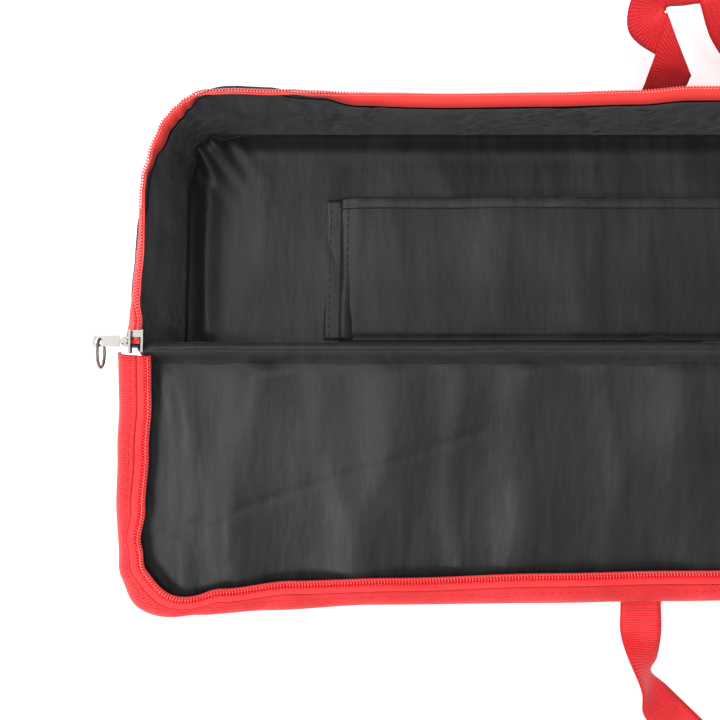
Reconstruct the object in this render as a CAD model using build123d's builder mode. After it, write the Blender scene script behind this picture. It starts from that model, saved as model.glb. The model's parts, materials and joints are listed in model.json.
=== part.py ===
from build123d import *
import os
from math import asin, atan2, cos, degrees, hypot, radians, sin

# Long clamshell carry bag, lying open on its back. Millimetres, +X along the bag,
# +Y from the hinge side to the far side, +Z up, origin at the centre of the back panel's outer face.

# ---- the padded cloth
shell_cloth = 1.2
foam = 4.0
lining_cloth = 0.8
wall_foam = 3.0
webbing_thick = 1.5
webbing_width = 25.0

# ---- body tray, outer sizes
base_half_length = 394.0
base_half_width = 77.0
base_corner = 38.0
wall_height = 70.0
end_flare = 17.0
far_lean = 1.0

# ---- zip
coil_width = 5.0
coil_height = 2.4
tape_thick = 0.8
tape_beyond_coil = 6.0
coil_corner = 36.0
coil_gap = 2.2
zip_end_clearance = 3.0
end_tab_length = 10.0
end_tab_thick = 1.0

# ---- lid tray
strip_length = 19.0
strip_droop = 82.0
hinge_lift = 1.0
band_lean = 13.0
lid_corner = 36.0
band_start = 6.0
hinge_gap = 1.5

# ---- slip pocket on the back lining
pocket_half_length = 290.0
pocket_top = 27.5
pocket_bottom = -66.0
pocket_depth = 6.0
pleat_width = 9.0
pleat_gap = 0.3
hem_width = 7.0
hem_thick = 0.6

# ---- zip sliders and their pulls
slider_length = 13.0
slider_plate = 1.2
slider_clear = 0.5
slider_park = -76.0
bridge_length = 4.0
bail_radius = 2.4
bail_wire = 0.6
pull_pin = 0.7
tab_width = 6.4
tab_thick = 1.2
tab_hole = 2.2
tab_neck = 1.3
tab_shoulder = 3.4
ring_radius = 8.5
ring_wire = 0.9
ring_droop = 45.0
ring_clear = 1.5

# ---- webbing handles
back_handle_half_span = 96.0
front_handle_half_span = 101.0
handle_leg = 42.0
handle_reach = 102.0
handle_top_half = 40.0
handle_bend = 14.0
handle_gap = 1.0
anchor_height = 6.0
anchor_lift = 0.5
back_handle_lean = 62.0

# ---- worked out from the sizes above
panel_thick = shell_cloth + foam + lining_cloth
wall_thick = shell_cloth + wall_foam + lining_cloth
top_half_length = base_half_length + end_flare
top_far = base_half_width - far_lean
coil_half_length = top_half_length - tape_beyond_coil
rim_corner = coil_corner + tape_beyond_coil
coil_top = wall_height + tape_thick + coil_height
tape_width = tape_beyond_coil + coil_width / 2
tape_band = (0.0, tape_width)
coil_band = (tape_beyond_coil - coil_width / 2, tape_beyond_coil + coil_width / 2)

# The lid turns about a line just outside the hinge wall's top edge.
hinge_y = -base_half_width - hinge_gap
hinge_z = wall_height + hinge_lift
drop = radians(strip_droop)
panel_y = hinge_y - strip_length * cos(drop)
panel_z = hinge_z - strip_length * sin(drop)
settling_steps = 40

# The lid's outline repeats the body's, so that the two coils meet when it is turned over.
# Turned over, the panel is level: the strip then leans in over the body.
lid_half_length = top_half_length + band_lean


def lid_reach(slope):
    """Panel length that brings the lid's rim over the body's rim when the panel is level."""
    lean = drop - slope
    return top_far - (hinge_y + strip_length * cos(lean)) + band_lean


def resting_slope():
    """Angle at which the open panel comes down to the surface that the bag lies on."""
    slope = 0.0
    for _ in range(settling_steps):
        length = lid_reach(slope)
        slope = asin(panel_z / hypot(length, panel_thick)) - atan2(panel_thick, length)
    return slope


slope = resting_slope()
lid_length = lid_reach(slope)
closed_panel_z = hinge_z + strip_length * sin(drop - slope)
lid_coil_top = closed_panel_z - coil_top - coil_gap
rim_height = lid_coil_top - coil_height - tape_thick

lid_plane = Plane(
    origin=(0, panel_y, panel_z),
    x_dir=(-1, 0, 0),
    z_dir=(0, -sin(slope), cos(slope)),
)
strip_plane = Plane(
    origin=(0, hinge_y, hinge_z),
    x_dir=(-1, 0, 0),
    z_dir=(0, -sin(drop), cos(drop)),
)
# The rim's outline runs on past the hinge by this much before it is cut off there.
beyond = 2 * base_half_width


def panel_layer(plane, bottom, thick, half_length, near, far, radius):
    """One flat layer of a padded panel, with round corners at its far side."""
    with BuildSketch(plane.offset(bottom)) as outline:
        with Locations((0, (near + far) / 2)):
            Rectangle(2 * half_length, far - near)
        fillet(outline.vertices().group_by(Axis.Y)[-1], radius)
    extrude(outline.sketch, amount=thick)


def rim_outline(plane, half_length, far, radius):
    """Outline of the rim, run on past the hinge side, where it is cut off later."""
    with BuildSketch(plane) as outline:
        with Locations((0, (far - beyond) / 2)):
            RectangleRounded(2 * half_length, far + beyond, radius)
    return outline.sketch


def rim_wall(plane, low, high, insets, near_cut):
    """Layer of the wall round three sides, between two insets from its outer face.

    low and high are (height, half length, far edge, corner radius) of the outer face."""
    for inset, mode in zip(insets, (Mode.ADD, Mode.SUBTRACT)):
        outlines = [
            rim_outline(plane.offset(height), half_length - inset, far - inset, radius - inset)
            for height, half_length, far, radius in (low, high)
        ]
        loft(outlines, mode=mode)
    cut_at_hinge(plane, near_cut)


def rim_flange(plane, height, thick, insets, half_length, far, radius, near_cut):
    """Flat strip round three sides, between two insets from the rim's outline."""
    for inset, mode in zip(insets, (Mode.ADD, Mode.SUBTRACT)):
        outline = rim_outline(plane.offset(height), half_length - inset, far - inset, radius - inset)
        extrude(outline, amount=thick, mode=mode)
    cut_at_hinge(plane, near_cut)


def cut_at_hinge(plane, near_cut):
    """Keep only what lies on the far side of a line parallel to the hinge."""
    hinge_side = Plane(
        origin=plane.from_local_coords(Vector(0, near_cut, 0)),
        x_dir=plane.x_dir,
        z_dir=plane.y_dir,
    )
    split(bisect_by=hinge_side, keep=Keep.TOP)


def save(piece, name):
    """Write one finished piece under its own name."""
    piece.part.label = name
    export_step(piece.part, f"parts/{name}.step")


os.makedirs("parts", exist_ok=True)

# ==== body tray: back panel in three layers
back_layers = (
    ("back_panel", 0.0, shell_cloth),
    ("back_panel_foam", shell_cloth, foam),
    ("back_lining", shell_cloth + foam, lining_cloth),
)
for name, bottom, thick in back_layers:
    with BuildPart() as back_layer:
        panel_layer(
            Plane.XY, bottom, thick, base_half_length, -base_half_width, base_half_width, base_corner
        )
    save(back_layer, name)

# ==== body tray: wall round the two ends and the far side, in three layers
wall_low = (panel_thick, base_half_length, base_half_width, base_corner)
wall_high = (wall_height, top_half_length, top_far, rim_corner)
wall_layers = (
    ("gusset_shell", 0.0, shell_cloth),
    ("gusset_foam", shell_cloth, shell_cloth + wall_foam),
    ("gusset_lining", shell_cloth + wall_foam, wall_thick),
)
for name, outer, inner in wall_layers:
    with BuildPart() as wall_layer:
        rim_wall(Plane.XY, wall_low, wall_high, (outer, inner), -base_half_width + wall_thick)
    save(wall_layer, name)

# ==== body tray: hinge wall, as wide at each height as the flared ends
hinge_layers = (
    ("bottom_gusset", 0.0, shell_cloth),
    ("bottom_gusset_foam", shell_cloth, wall_foam),
    ("bottom_gusset_lining", shell_cloth + wall_foam, lining_cloth),
)
for name, inset, thick in hinge_layers:
    with BuildPart() as hinge_layer:
        with BuildSketch(Plane.XZ.offset(base_half_width - inset)):
            with BuildLine():
                Polyline(
                    (-base_half_length, panel_thick),
                    (base_half_length, panel_thick),
                    (top_half_length, wall_height),
                    (-top_half_length, wall_height),
                    close=True,
                )
            make_face()
        extrude(amount=-thick)
    save(hinge_layer, name)

# ==== body half of the zip, on the top edge of the wall
with BuildPart() as body_zip_tape:
    rim_flange(
        Plane.XY, wall_height, tape_thick, tape_band, top_half_length, top_far, rim_corner,
        -base_half_width,
    )
save(body_zip_tape, "body_zip_tape")

body_coil_start = -base_half_width + zip_end_clearance
with BuildPart() as body_zip_coil:
    rim_flange(
        Plane.XY, wall_height + tape_thick, coil_height, coil_band, top_half_length, top_far,
        rim_corner, body_coil_start,
    )
save(body_zip_coil, "body_zip_coil")

# ==== slip pocket: front sheet with a turned-down lower edge, a hem and a pleat at each end
lining_top = panel_thick
with BuildPart() as pocket_panel:
    with BuildSketch(Plane.XY.offset(lining_top + pocket_depth)):
        with Locations((0, (pocket_bottom + pocket_top) / 2)):
            Rectangle(2 * pocket_half_length, pocket_top - pocket_bottom)
    extrude(amount=lining_cloth)
    with BuildSketch(Plane.XY.offset(lining_top)):
        with Locations((0, pocket_bottom + lining_cloth / 2)):
            Rectangle(2 * pocket_half_length, lining_cloth)
    extrude(amount=pocket_depth)
save(pocket_panel, "pocket_panel")

with BuildPart() as pocket_hem:
    with BuildSketch(Plane.XY.offset(lining_top + pocket_depth + lining_cloth)):
        with Locations((0, pocket_top - hem_width / 2)):
            Rectangle(2 * pocket_half_length, hem_width)
    extrude(amount=hem_thick)
save(pocket_hem, "pocket_hem")

for side, name in ((-1, "pocket_pleat_left"), (1, "pocket_pleat_right")):
    inner = pocket_half_length - pleat_width
    outer = pocket_half_length + pleat_width
    roof = lining_top + pocket_depth
    with BuildPart() as pleat:
        with BuildSketch(Plane.XZ.offset(-pocket_top)):
            with BuildLine():
                Polyline(
                    (side * outer, lining_top),
                    (side * inner, lining_top),
                    (side * inner, roof),
                    (side * pocket_half_length, roof),
                    (side * pocket_half_length, roof - lining_cloth),
                    (side * (inner + lining_cloth), roof - lining_cloth),
                    (side * (inner + lining_cloth), lining_top + lining_cloth),
                    (side * outer, lining_top + lining_cloth),
                    close=True,
                )
            make_face()
        extrude(amount=pocket_top - pocket_bottom - lining_cloth - pleat_gap)
    save(pleat, name)

# ==== lid: fabric strip from the hinge line down to the front panel, outer cloth and lining
strip_layers = (("hinge_strip", -1, shell_cloth), ("hinge_strip_lining", 1, lining_cloth))
strip_half_length = base_half_length - wall_thick
strip_run = strip_length - 2 * hinge_gap
for name, side, thick in strip_layers:
    with BuildPart() as strip_layer:
        with BuildSketch(strip_plane):
            with Locations((0, strip_length / 2)):
                Rectangle(2 * strip_half_length, strip_run)
        extrude(amount=side * thick)
    save(strip_layer, name)

# ==== lid: front panel in three layers, its lining at height 0 of the lid's own plane
lid_layers = (
    ("front_panel", -panel_thick, shell_cloth),
    ("front_panel_foam", shell_cloth - panel_thick, foam),
    ("front_lining", -lining_cloth, lining_cloth),
)
for name, bottom, thick in lid_layers:
    with BuildPart() as lid_layer:
        panel_layer(lid_plane, bottom, thick, lid_half_length, hinge_gap, lid_length, lid_corner)
    save(lid_layer, name)

# ==== lid: wall of folded webbing that leans in, with the other half of the zip at its edge
band_slant = webbing_thick * hypot(rim_height, band_lean) / rim_height
rim_far = lid_length - band_lean
with BuildPart() as lid_band:
    rim_wall(
        lid_plane,
        (0.0, lid_half_length, lid_length, lid_corner),
        (rim_height, top_half_length, rim_far, rim_corner),
        (0.0, band_slant),
        band_start,
    )
save(lid_band, "lid_band")

with BuildPart() as lid_zip_tape:
    rim_flange(
        lid_plane, rim_height, tape_thick, tape_band, top_half_length, rim_far, rim_corner, band_start
    )
save(lid_zip_tape, "lid_zip_tape")

with BuildPart() as lid_zip_coil:
    rim_flange(
        lid_plane, rim_height + tape_thick, coil_height, coil_band, top_half_length, rim_far,
        rim_corner, band_start,
    )
save(lid_zip_coil, "lid_zip_coil")

# ==== zip sliders: two upright plates either side of the coil, joined between the two coils
plate_low = wall_height + tape_thick + slider_clear
plate_high = coil_top + coil_gap + coil_height - slider_clear
plate_inner = coil_width / 2 + slider_clear
plate_middle = (plate_low + plate_high) / 2
bridge_low = coil_top + slider_clear
bridge_high = coil_top + coil_gap - slider_clear
pull_offset = plate_inner + slider_plate + bail_radius - bail_wire
ring_out = lid_half_length + ring_wire + ring_clear
tab_reach = ring_out - coil_half_length - pull_offset
tab_low = plate_middle + bail_wire + slider_clear
ring_hole_z = tab_low + tab_thick / 2

for side, end in ((-1, "left"), (1, "right")):
    coil_x = side * coil_half_length
    pull_x = coil_x + side * pull_offset
    with BuildPart() as slider:
        with Locations((coil_x, slider_park, plate_low)):
            with Locations(
                (side * (plate_inner + slider_plate / 2), 0), (-side * (plate_inner + slider_plate / 2), 0)
            ):
                Box(
                    slider_plate, slider_length, plate_high - plate_low,
                    align=(Align.CENTER, Align.CENTER, Align.MIN),
                )
        with Locations((coil_x, slider_park + slider_length / 2 - bridge_length / 2, bridge_low)):
            Box(
                2 * plate_inner + slider_plate, bridge_length, bridge_high - bridge_low,
                align=(Align.CENTER, Align.CENTER, Align.MIN),
            )
        with BuildSketch(Plane.XY.offset(plate_middle - bail_wire)):
            with Locations((pull_x, slider_park)):
                Circle(bail_radius + bail_wire)
                Circle(bail_radius - bail_wire, mode=Mode.SUBTRACT)
            with Locations((coil_x, slider_park)):
                Rectangle(2 * plate_inner, slider_length, mode=Mode.SUBTRACT)
        extrude(amount=2 * bail_wire)
    save(slider, f"slider_{end}")

    tab_run = tab_reach + tab_width / 2 - tab_shoulder
    with BuildPart() as pull_tab:
        with BuildSketch(Plane.XY.offset(tab_low)):
            with Locations((pull_x, slider_park)):
                Circle(tab_neck)
            with Locations((pull_x + side * tab_shoulder / 2, slider_park)):
                Rectangle(tab_shoulder, 2 * tab_neck)
            with Locations((pull_x + side * (tab_shoulder + tab_run / 2), slider_park)):
                Rectangle(tab_run, tab_width)
            with Locations((pull_x + side * tab_reach, slider_park)):
                Circle(tab_hole, mode=Mode.SUBTRACT)
        extrude(amount=tab_thick)
        with Locations((pull_x, slider_park, plate_middle - bail_wire - slider_clear)):
            Cylinder(
                pull_pin, 2 * (bail_wire + slider_clear), align=(Align.CENTER, Align.CENTER, Align.MIN)
            )
    save(pull_tab, f"pull_tab_{end}")

    ring_plane = Plane(
        origin=(
            pull_x + side * tab_reach,
            slider_park - ring_radius * cos(radians(ring_droop)),
            ring_hole_z - ring_radius * sin(radians(ring_droop)),
        ),
        x_dir=(0, 1, 0),
        z_dir=(1, 0, 0),
    )
    with BuildPart(ring_plane) as pull_ring:
        Torus(ring_radius, ring_wire)
    save(pull_ring, f"pull_ring_{end}")

    with BuildPart() as end_tab:
        with BuildSketch(Plane.XZ.offset(base_half_width)):
            with Locations((side * (top_half_length - tape_width / 2), wall_height - end_tab_length / 2)):
                Rectangle(tape_width, end_tab_length)
        extrude(amount=end_tab_thick)
    save(end_tab, f"zip_end_tab_{end}")

# ==== webbing handles, each a flat loop that turns about the line where it is sewn on
back_pivot_y = base_half_width + webbing_thick + handle_gap
back_pivot_z = anchor_lift + anchor_height
lean = radians(back_handle_lean)
back_handle_plane = Plane(
    origin=(0, back_pivot_y, back_pivot_z), x_dir=(-1, 0, 0), z_dir=(0, sin(lean), -cos(lean))
)
lid_edge_y = panel_y - lid_length * cos(slope)
front_reach = webbing_thick + panel_thick * sin(slope) + handle_gap
front_handle_plane = Plane(
    origin=(0, lid_edge_y - front_reach, 0), x_dir=(-1, 0, 0), z_dir=(0, 0, 1)
)


def sewn_ends(plane, half_span):
    """Two short webbing ends, flat against the seam they are sewn into."""
    with BuildSketch(plane) as ends:
        with Locations((-half_span, anchor_lift), (half_span, anchor_lift)):
            Rectangle(webbing_width, anchor_height, align=(Align.CENTER, Align.MIN))
    extrude(ends.sketch, amount=webbing_thick)


far_side_plane = Plane(origin=(0, base_half_width, 0), x_dir=(-1, 0, 0), z_dir=(0, 1, 0))
with BuildPart() as back_handle_ends:
    sewn_ends(far_side_plane, back_handle_half_span)
save(back_handle_ends, "back_handle_ends")

lid_edge_plane = Plane(
    origin=lid_plane.from_local_coords(Vector(0, lid_length, -panel_thick)),
    x_dir=(1, 0, 0),
    z_dir=lid_plane.y_dir,
)
with BuildPart() as front_handle_ends:
    sewn_ends(lid_edge_plane, front_handle_half_span)
save(front_handle_ends, "front_handle_ends")

handles = (
    ("back_handle", back_handle_plane, back_handle_half_span),
    ("front_handle", front_handle_plane, front_handle_half_span),
)
for name, plane, half_span in handles:
    with BuildPart() as handle:
        with BuildSketch(plane):
            with BuildLine():
                FilletPolyline(
                    (-half_span, 0),
                    (-half_span, handle_leg),
                    (-handle_top_half, handle_reach),
                    (handle_top_half, handle_reach),
                    (half_span, handle_leg),
                    (half_span, 0),
                    radius=handle_bend,
                )
            trace(line_width=webbing_width)
        extrude(amount=webbing_thick)
    save(handle, name)

print("slope", round(degrees(slope), 2), "lid length", round(lid_length, 2))
print("rim height", round(rim_height, 2), "closed panel z", round(closed_panel_z, 2))
print("hinge", round(hinge_y, 2), round(hinge_z, 2), "turn", round(180 + degrees(slope), 2))
print("lid edge", round(lid_edge_y, 2), "front pivot y", round(lid_edge_y - front_reach, 2))
print("pull pivot", round(pull_x, 2), "ring x", round(ring_out, 2), "plate middle", round(plate_middle, 2))
print("ring hole z", round(ring_hole_z, 2), "back pivot", round(back_pivot_y, 2), round(back_pivot_z, 2))
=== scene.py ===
# %% [markdown]
# # A long clamshell carry bag, lying open
# The bag is a shallow black padded tray with a webbing-walled lid folded down in front of it.
# A red coil zip runs round three sides of both halves. This lesson dresses the CAD frame of the
# bag, piece by piece, with cloth, webbing, coils and thread made in mesh code.

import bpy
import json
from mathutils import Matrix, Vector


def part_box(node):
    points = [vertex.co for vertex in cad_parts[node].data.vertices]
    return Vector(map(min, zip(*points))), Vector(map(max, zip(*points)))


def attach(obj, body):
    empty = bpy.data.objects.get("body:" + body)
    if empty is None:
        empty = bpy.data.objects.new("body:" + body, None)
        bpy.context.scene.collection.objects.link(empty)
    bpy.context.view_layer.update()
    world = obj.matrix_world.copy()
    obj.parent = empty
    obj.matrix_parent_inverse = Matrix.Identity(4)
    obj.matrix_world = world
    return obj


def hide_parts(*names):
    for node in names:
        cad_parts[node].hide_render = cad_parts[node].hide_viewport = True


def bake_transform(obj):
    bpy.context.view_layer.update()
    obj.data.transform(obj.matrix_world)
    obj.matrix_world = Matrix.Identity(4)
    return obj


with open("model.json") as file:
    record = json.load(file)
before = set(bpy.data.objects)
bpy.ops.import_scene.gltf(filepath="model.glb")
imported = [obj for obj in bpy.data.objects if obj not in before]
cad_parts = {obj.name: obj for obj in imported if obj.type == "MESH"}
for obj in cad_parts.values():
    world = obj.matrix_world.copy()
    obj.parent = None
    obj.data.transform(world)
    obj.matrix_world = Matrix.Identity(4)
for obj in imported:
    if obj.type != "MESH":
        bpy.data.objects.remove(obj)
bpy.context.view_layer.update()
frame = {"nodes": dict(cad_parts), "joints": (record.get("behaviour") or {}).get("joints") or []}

# %% [markdown]
# ## Camera, floor and light
# The bag is looked at from almost straight above, tilted 7.5 degrees, as in a catalogue picture.
# A white floor and a white sky light it evenly. Softboxes above the left end and in front of it glance
# off the satin, so that its folds show, and one overhead lights the walls. The Standard view
# transform keeps the strong red.

# %% Camera, floor and light
from math import cos, pi, radians, sin
import json
import bpy
import numpy as np
from mathutils import Vector


def mm(value):
    """Millimetres to metres."""
    return value / 1000


def linear(code):
    """An sRGB hex colour as linear red, green, blue and alpha."""
    parts = [int(code[i : i + 2], 16) / 255 for i in (1, 3, 5)]
    return tuple(p / 12.92 if p <= 0.04045 else ((p + 0.055) / 1.055) ** 2.4 for p in parts) + (1.0,)


scene = bpy.context.scene
scene.view_settings.view_transform = "Standard"
camera_data = bpy.data.cameras.new("camera")
camera_data.lens = 52.2
camera_data.sensor_width = 36
camera = bpy.data.objects.new("camera", camera_data)
camera.location = (-0.2763, -0.1655, 0.6689)
camera.rotation_euler = (radians(7.54), 0, 0)
scene.collection.objects.link(camera)
scene.camera = camera

world = bpy.data.worlds.new("studio")
world.use_nodes = True
world.node_tree.nodes["Background"].inputs["Color"].default_value = linear("#FFFFFF")
world.node_tree.nodes["Background"].inputs["Strength"].default_value = 0.45
scene.world = world


def lamp(name, place, aim, size, power):
    """A soft square lamp that faces the place it is aimed at."""
    data = bpy.data.lights.new(name, "AREA")
    data.size = size
    data.energy = power
    made = bpy.data.objects.new(name, data)
    made.location = place
    made.rotation_euler = (Vector(aim) - Vector(place)).to_track_quat("-Z", "Y").to_euler()
    scene.collection.objects.link(made)


lamp("upper_left_softbox", (-0.95, 0.35, 1.45), (-0.2, 0, 0), 0.4, 9)
lamp("front_left_softbox", (-1.0, -1.0, 1.15), (-0.2, -0.15, 0), 0.4, 11)
lamp("overhead_softbox", (-0.2, -0.35, 1.4), (-0.2, 0.1, 0), 0.5, 5)
lamp("far_softbox", (0.1, 1.3, 1.2), (-0.1, 0, 0), 1.0, 4)

# %% [markdown]
# ## How a finish is made
# Every finish is one Principled shader fed by small patterns. One function adds a node, sets its
# sockets and links it. Pattern sizes come from real thread spacings: a pattern's scale is the
# number of repeats in a metre. Where a thread is too fine to show, it is drawn coarser.

# %% Add a node, start a finish
def add(material, kind, inputs, **settings):
    """Add a shader node with its settings; an input is a plain value or another node's output."""
    made = material.node_tree.nodes.new("ShaderNode" + kind)
    for name, value in settings.items():
        setattr(made, name, value)
    for name, value in inputs.items():
        if isinstance(value, bpy.types.NodeSocket):
            material.node_tree.links.new(value, made.inputs[name])
        else:
            made.inputs[name].default_value = value
    return made


def finish(name, inputs):
    """A new material with one Principled shader, whose plain sockets are set directly."""
    material = bpy.data.materials.new(name)
    material.use_nodes = True
    material.node_tree.nodes.clear()
    shader = add(material, "BsdfPrincipled", inputs)
    add(material, "OutputMaterial", {"Surface": shader.outputs["BSDF"]})
    return material, shader


def connect(output, shader, socket):
    """Feed one of the shader's sockets from a node's output."""
    shader.id_data.links.new(output, shader.inputs[socket])


# %% Patterns that feed a finish
def cloth_place(material):
    """The place on a piece in its own metres, so that patterns stay with the cloth as it moves."""
    return add(material, "TexCoord", {}).outputs["Object"]


def threads(material, place, along, spacing, wobble=0.6):
    """Fine parallel threads as bands, from 0 to 1, a spacing in metres apart."""
    # A wave texture repeats 20 / (2 pi) times in a metre for each unit of its scale.
    scale = 2 * pi / (20 * spacing)
    inputs = {"Vector": place, "Scale": scale, "Distortion": wobble, "Detail": 1.0}
    return add(material, "TexWave", inputs, bands_direction=along).outputs["Fac"]


def noise(material, place, scale, detail=2.0):
    """A soft random pattern; the scale is about how many patches lie in a metre."""
    return add(material, "TexNoise", {"Vector": place, "Scale": scale, "Detail": detail}).outputs["Fac"]


def drawn_out(material, place, scales):
    """A place whose three axes each have their own number of patches in a metre."""
    return add(material, "Mapping", {"Vector": place, "Scale": scales}).outputs["Vector"]


def combined(material, operation, first, second):
    """Two patterns added or multiplied."""
    return add(material, "Math", {0: first, 1: second}, operation=operation).outputs["Value"]


def painted_light_value(material):
    """The share of painted light that each point of a piece carries: 0 for painted shade, 1 for painted
    light.
    """
    return add(material, "Attribute", {}, attribute_name="painted_light_share").outputs["Fac"]


def ease(material, value, low, high, start=0.0, end=1.0):
    """Stretch the part of a pattern between low and high to run from start to end."""
    inputs = {"Value": value, "From Min": low, "From Max": high, "To Min": start, "To Max": end}
    return add(material, "MapRange", inputs).outputs["Result"]


def colour_by(material, shader, share, dark, light):
    """A base colour that runs from dark to light as share goes from 0 to 1."""
    inputs = {"Factor": share, "A": linear(dark), "B": linear(light)}
    connect(add(material, "Mix", inputs, data_type="RGBA").outputs["Result"], shader, "Base Color")


def raised(material, height, distance, strength, **under):
    """Turn a pattern into fine relief of that real height, over another relief if one is given."""
    inputs = {"Height": height, "Distance": distance, "Strength": strength}
    return add(material, "Bump", {**inputs, **under}).outputs["Normal"]


# %% [markdown]
# ## Satin lining and coated outer cloth
# The lining is thin satin-woven polyester, black, with a soft silky gleam that follows its threads.
# The threads are about 0.2 mm apart in the real cloth and drawn 0.9 mm apart so that they show.
# The outer cloth is a coarser plain weave with a matt coating on its inner side.

# %% Satin lining
def satin_cloth(name, dark, light):
    """Woven polyester lining: dark, with a dull silky gleam across its threads."""
    material, shader = finish(name, {"Sheen Weight": 0.12, "Sheen Roughness": 0.45, "IOR": 1.5})
    shader.inputs["Specular IOR Level"].default_value = 0.33
    place = cloth_place(material)
    across = threads(material, place, "X", mm(0.9))
    along = threads(material, place, "Y", mm(1.3))
    weave = combined(material, "ADD", across, along)
    streaks = noise(material, drawn_out(material, place, (160, 16, 60)), 1.0, 3.0)
    clouds = noise(material, place, 14.0)
    patchy = ease(material, combined(material, "MULTIPLY", streaks, clouds), 0.12, 0.42)
    colour_by(material, shader, patchy, dark, light)
    connect(ease(material, streaks, 0.3, 0.7, 0.42, 0.56), shader, "Roughness")
    crumples = noise(material, drawn_out(material, place, (95, 30, 60)), 1.0)
    soft = raised(material, crumples, mm(1.6), 0.55)
    connect(raised(material, weave, mm(0.05), 0.5, Normal=soft), shader, "Normal")
    return material


satin_lining = satin_cloth("satin_polyester_lining", "#1A1A1B", "#272829")
# Painted light: the upright walls get the same black satin in lighter colours.
wall_satin_painted_light = satin_cloth("satin_polyester_wall_lining_painted_light", "#2F2F32", "#4A4A4E")

# %% Coated outer cloth
def coated_cloth():
    """Matt coated polyester: a plain weave of thick yarns, 0.6 mm apart, drawn at 1.0 mm."""
    material, shader = finish("coated_woven_polyester", {"IOR": 1.5, "Roughness": 0.72})
    shader.inputs["Sheen Weight"].default_value = 0.08
    shader.inputs["Sheen Roughness"].default_value = 0.6
    place = cloth_place(material)
    across, along, upright = (threads(material, place, axis, mm(1.0), 0.3) for axis in "XYZ")
    flat_weave = combined(material, "MULTIPLY", across, along)
    weave = combined(material, "ADD", flat_weave, upright)
    colour_by(material, shader, noise(material, place, 40.0, 4.0), "#161617", "#242426")
    connect(raised(material, weave, mm(0.12), 0.6), shader, "Normal")
    return material


outer_cloth = coated_cloth()
print("cloths", satin_lining.name, outer_cloth.name)

# %% [markdown]
# ## Ribbed webbing, zip tape and nylon coil
# The red webbing is woven polypropylene with thick cross ribs. The ribs are real geometry, and each
# point carries a share of painted light that is 0 in a groove and 1 on a crown. The finish uses it to
# paint shade into the grooves and light onto the crowns. On the tape it paints shade on the back face,
# and on the coil it paints highlights on the heads. Tape is a flatter, slightly warmer weave, and the
# coil is bare nylon wire.

# %% Ribbed webbing
def woven_red(name, dark, light, rough):
    """Woven red synthetic yarn: painted shade in the grooves, painted light on the fuzzy crowns, and a
    random yarn tone.
    """
    material, shader = finish(name, {"IOR": 1.49, "Roughness": rough})
    shader.inputs["Sheen Weight"].default_value = 0.1
    shader.inputs["Sheen Roughness"].default_value = 0.5
    place = cloth_place(material)
    yarn = noise(material, place, 900.0)
    mixed = combined(material, "MULTIPLY", yarn, noise(material, place, 30.0))
    # Painted shade and light: the share of painted light times a random yarn tone, so the grooves come
    # out dark and the crowns light.
    painted_crown_light = combined(material, "MULTIPLY", painted_light_value(material), mixed)
    colour_by(material, shader, ease(material, painted_crown_light, 0.04, 0.3), dark, light)
    connect(raised(material, yarn, mm(0.15), 0.5), shader, "Normal")
    return material


# The webbing's two colours run from the painted shade of its grooves to the painted light of its crowns.
webbing = woven_red("ribbed_polypropylene_webbing", "#BE040B", "#FF3038", 0.62)
# The tape's colours run from painted shade on its back face to painted light on its top face.
zip_tape = woven_red("woven_zip_tape", "#F43A34", "#FF665C", 0.68)
# Painted shade: the lid half of the same zip gets its tape in darker colours.
lid_tape_painted_shade = woven_red("woven_lid_zip_tape_painted_shade", "#E41A1E", "#FF343A", 0.68)
# Painted highlight: the coil's sewing thread is painted pale pink, to give the light dots along the
# coil.
coil_thread_painted_highlight = woven_red("coil_sewing_thread_painted_highlight", "#FF908C", "#FFC0BC", 0.5)
red_thread = woven_red("red_sewing_thread", "#DC2026", "#F4444A", 0.5)

# %% Nylon coil, black thread and nickel plate
def nylon_coil():
    """Moulded nylon wire: smooth, glossy, dyed through, with painted highlights that make the heads
    paler.
    """
    material, shader = finish("dyed_nylon_coil", {"IOR": 1.53, "Roughness": 0.26})
    # Painted highlight: the heads of the loops, where the share of painted light is high, turn pale
    # pink.
    colour_by(material, shader, painted_light_value(material), "#F21820", "#FF8A86")
    mottle = noise(material, cloth_place(material), 400.0)
    connect(raised(material, mottle, mm(0.05), 0.4), shader, "Normal")
    return material


def spun_thread():
    """Black polyester sewing thread: two plies, so a fine slanting twist."""
    material, shader = finish("black_sewing_thread", {"IOR": 1.5, "Roughness": 0.55})
    twist = threads(material, cloth_place(material), "DIAGONAL", mm(0.5))
    colour_by(material, shader, twist, "#0E0E0F", "#2A2A2C")
    return material


def nickel_plate():
    """Satin nickel over cast zinc: grey, slightly warm, with faint handling marks."""
    material, shader = finish("satin_nickel_plate", {"Metallic": 1.0})
    smears = noise(material, cloth_place(material), 260.0, 4.0)
    colour_by(material, shader, smears, "#6E6C68", "#9C9A96")
    connect(ease(material, smears, 0.3, 0.7, 0.28, 0.42), shader, "Roughness")
    connect(raised(material, smears, mm(0.03), 0.3), shader, "Normal")
    return material


coil_nylon = nylon_coil()
black_thread = spun_thread()
nickel = nickel_plate()
print("finishes", len(bpy.data.materials))

# %% [markdown]
# ## Meshes from rows of points
# Cloth, walls and straps are all grids: rows of points, each row running along the piece. A closed
# grid is a tube, whose last row joins its first and whose two ends are capped. The flat frame of
# the body and the tilted frame of the lid each get a function that turns local places into real ones.

# %% Grid meshes and the two frames
def into_piece(name, points, faces, material):
    """A smooth-shaded object from points and faces."""
    mesh = bpy.data.meshes.new(name)
    mesh.from_pydata(points.reshape(-1, 3).tolist(), [], faces)
    mesh.polygons.foreach_set("use_smooth", [True] * len(mesh.polygons))
    mesh.materials.append(material)
    mesh.validate()
    piece = bpy.data.objects.new(name, mesh)
    scene.collection.objects.link(piece)
    return piece


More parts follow.
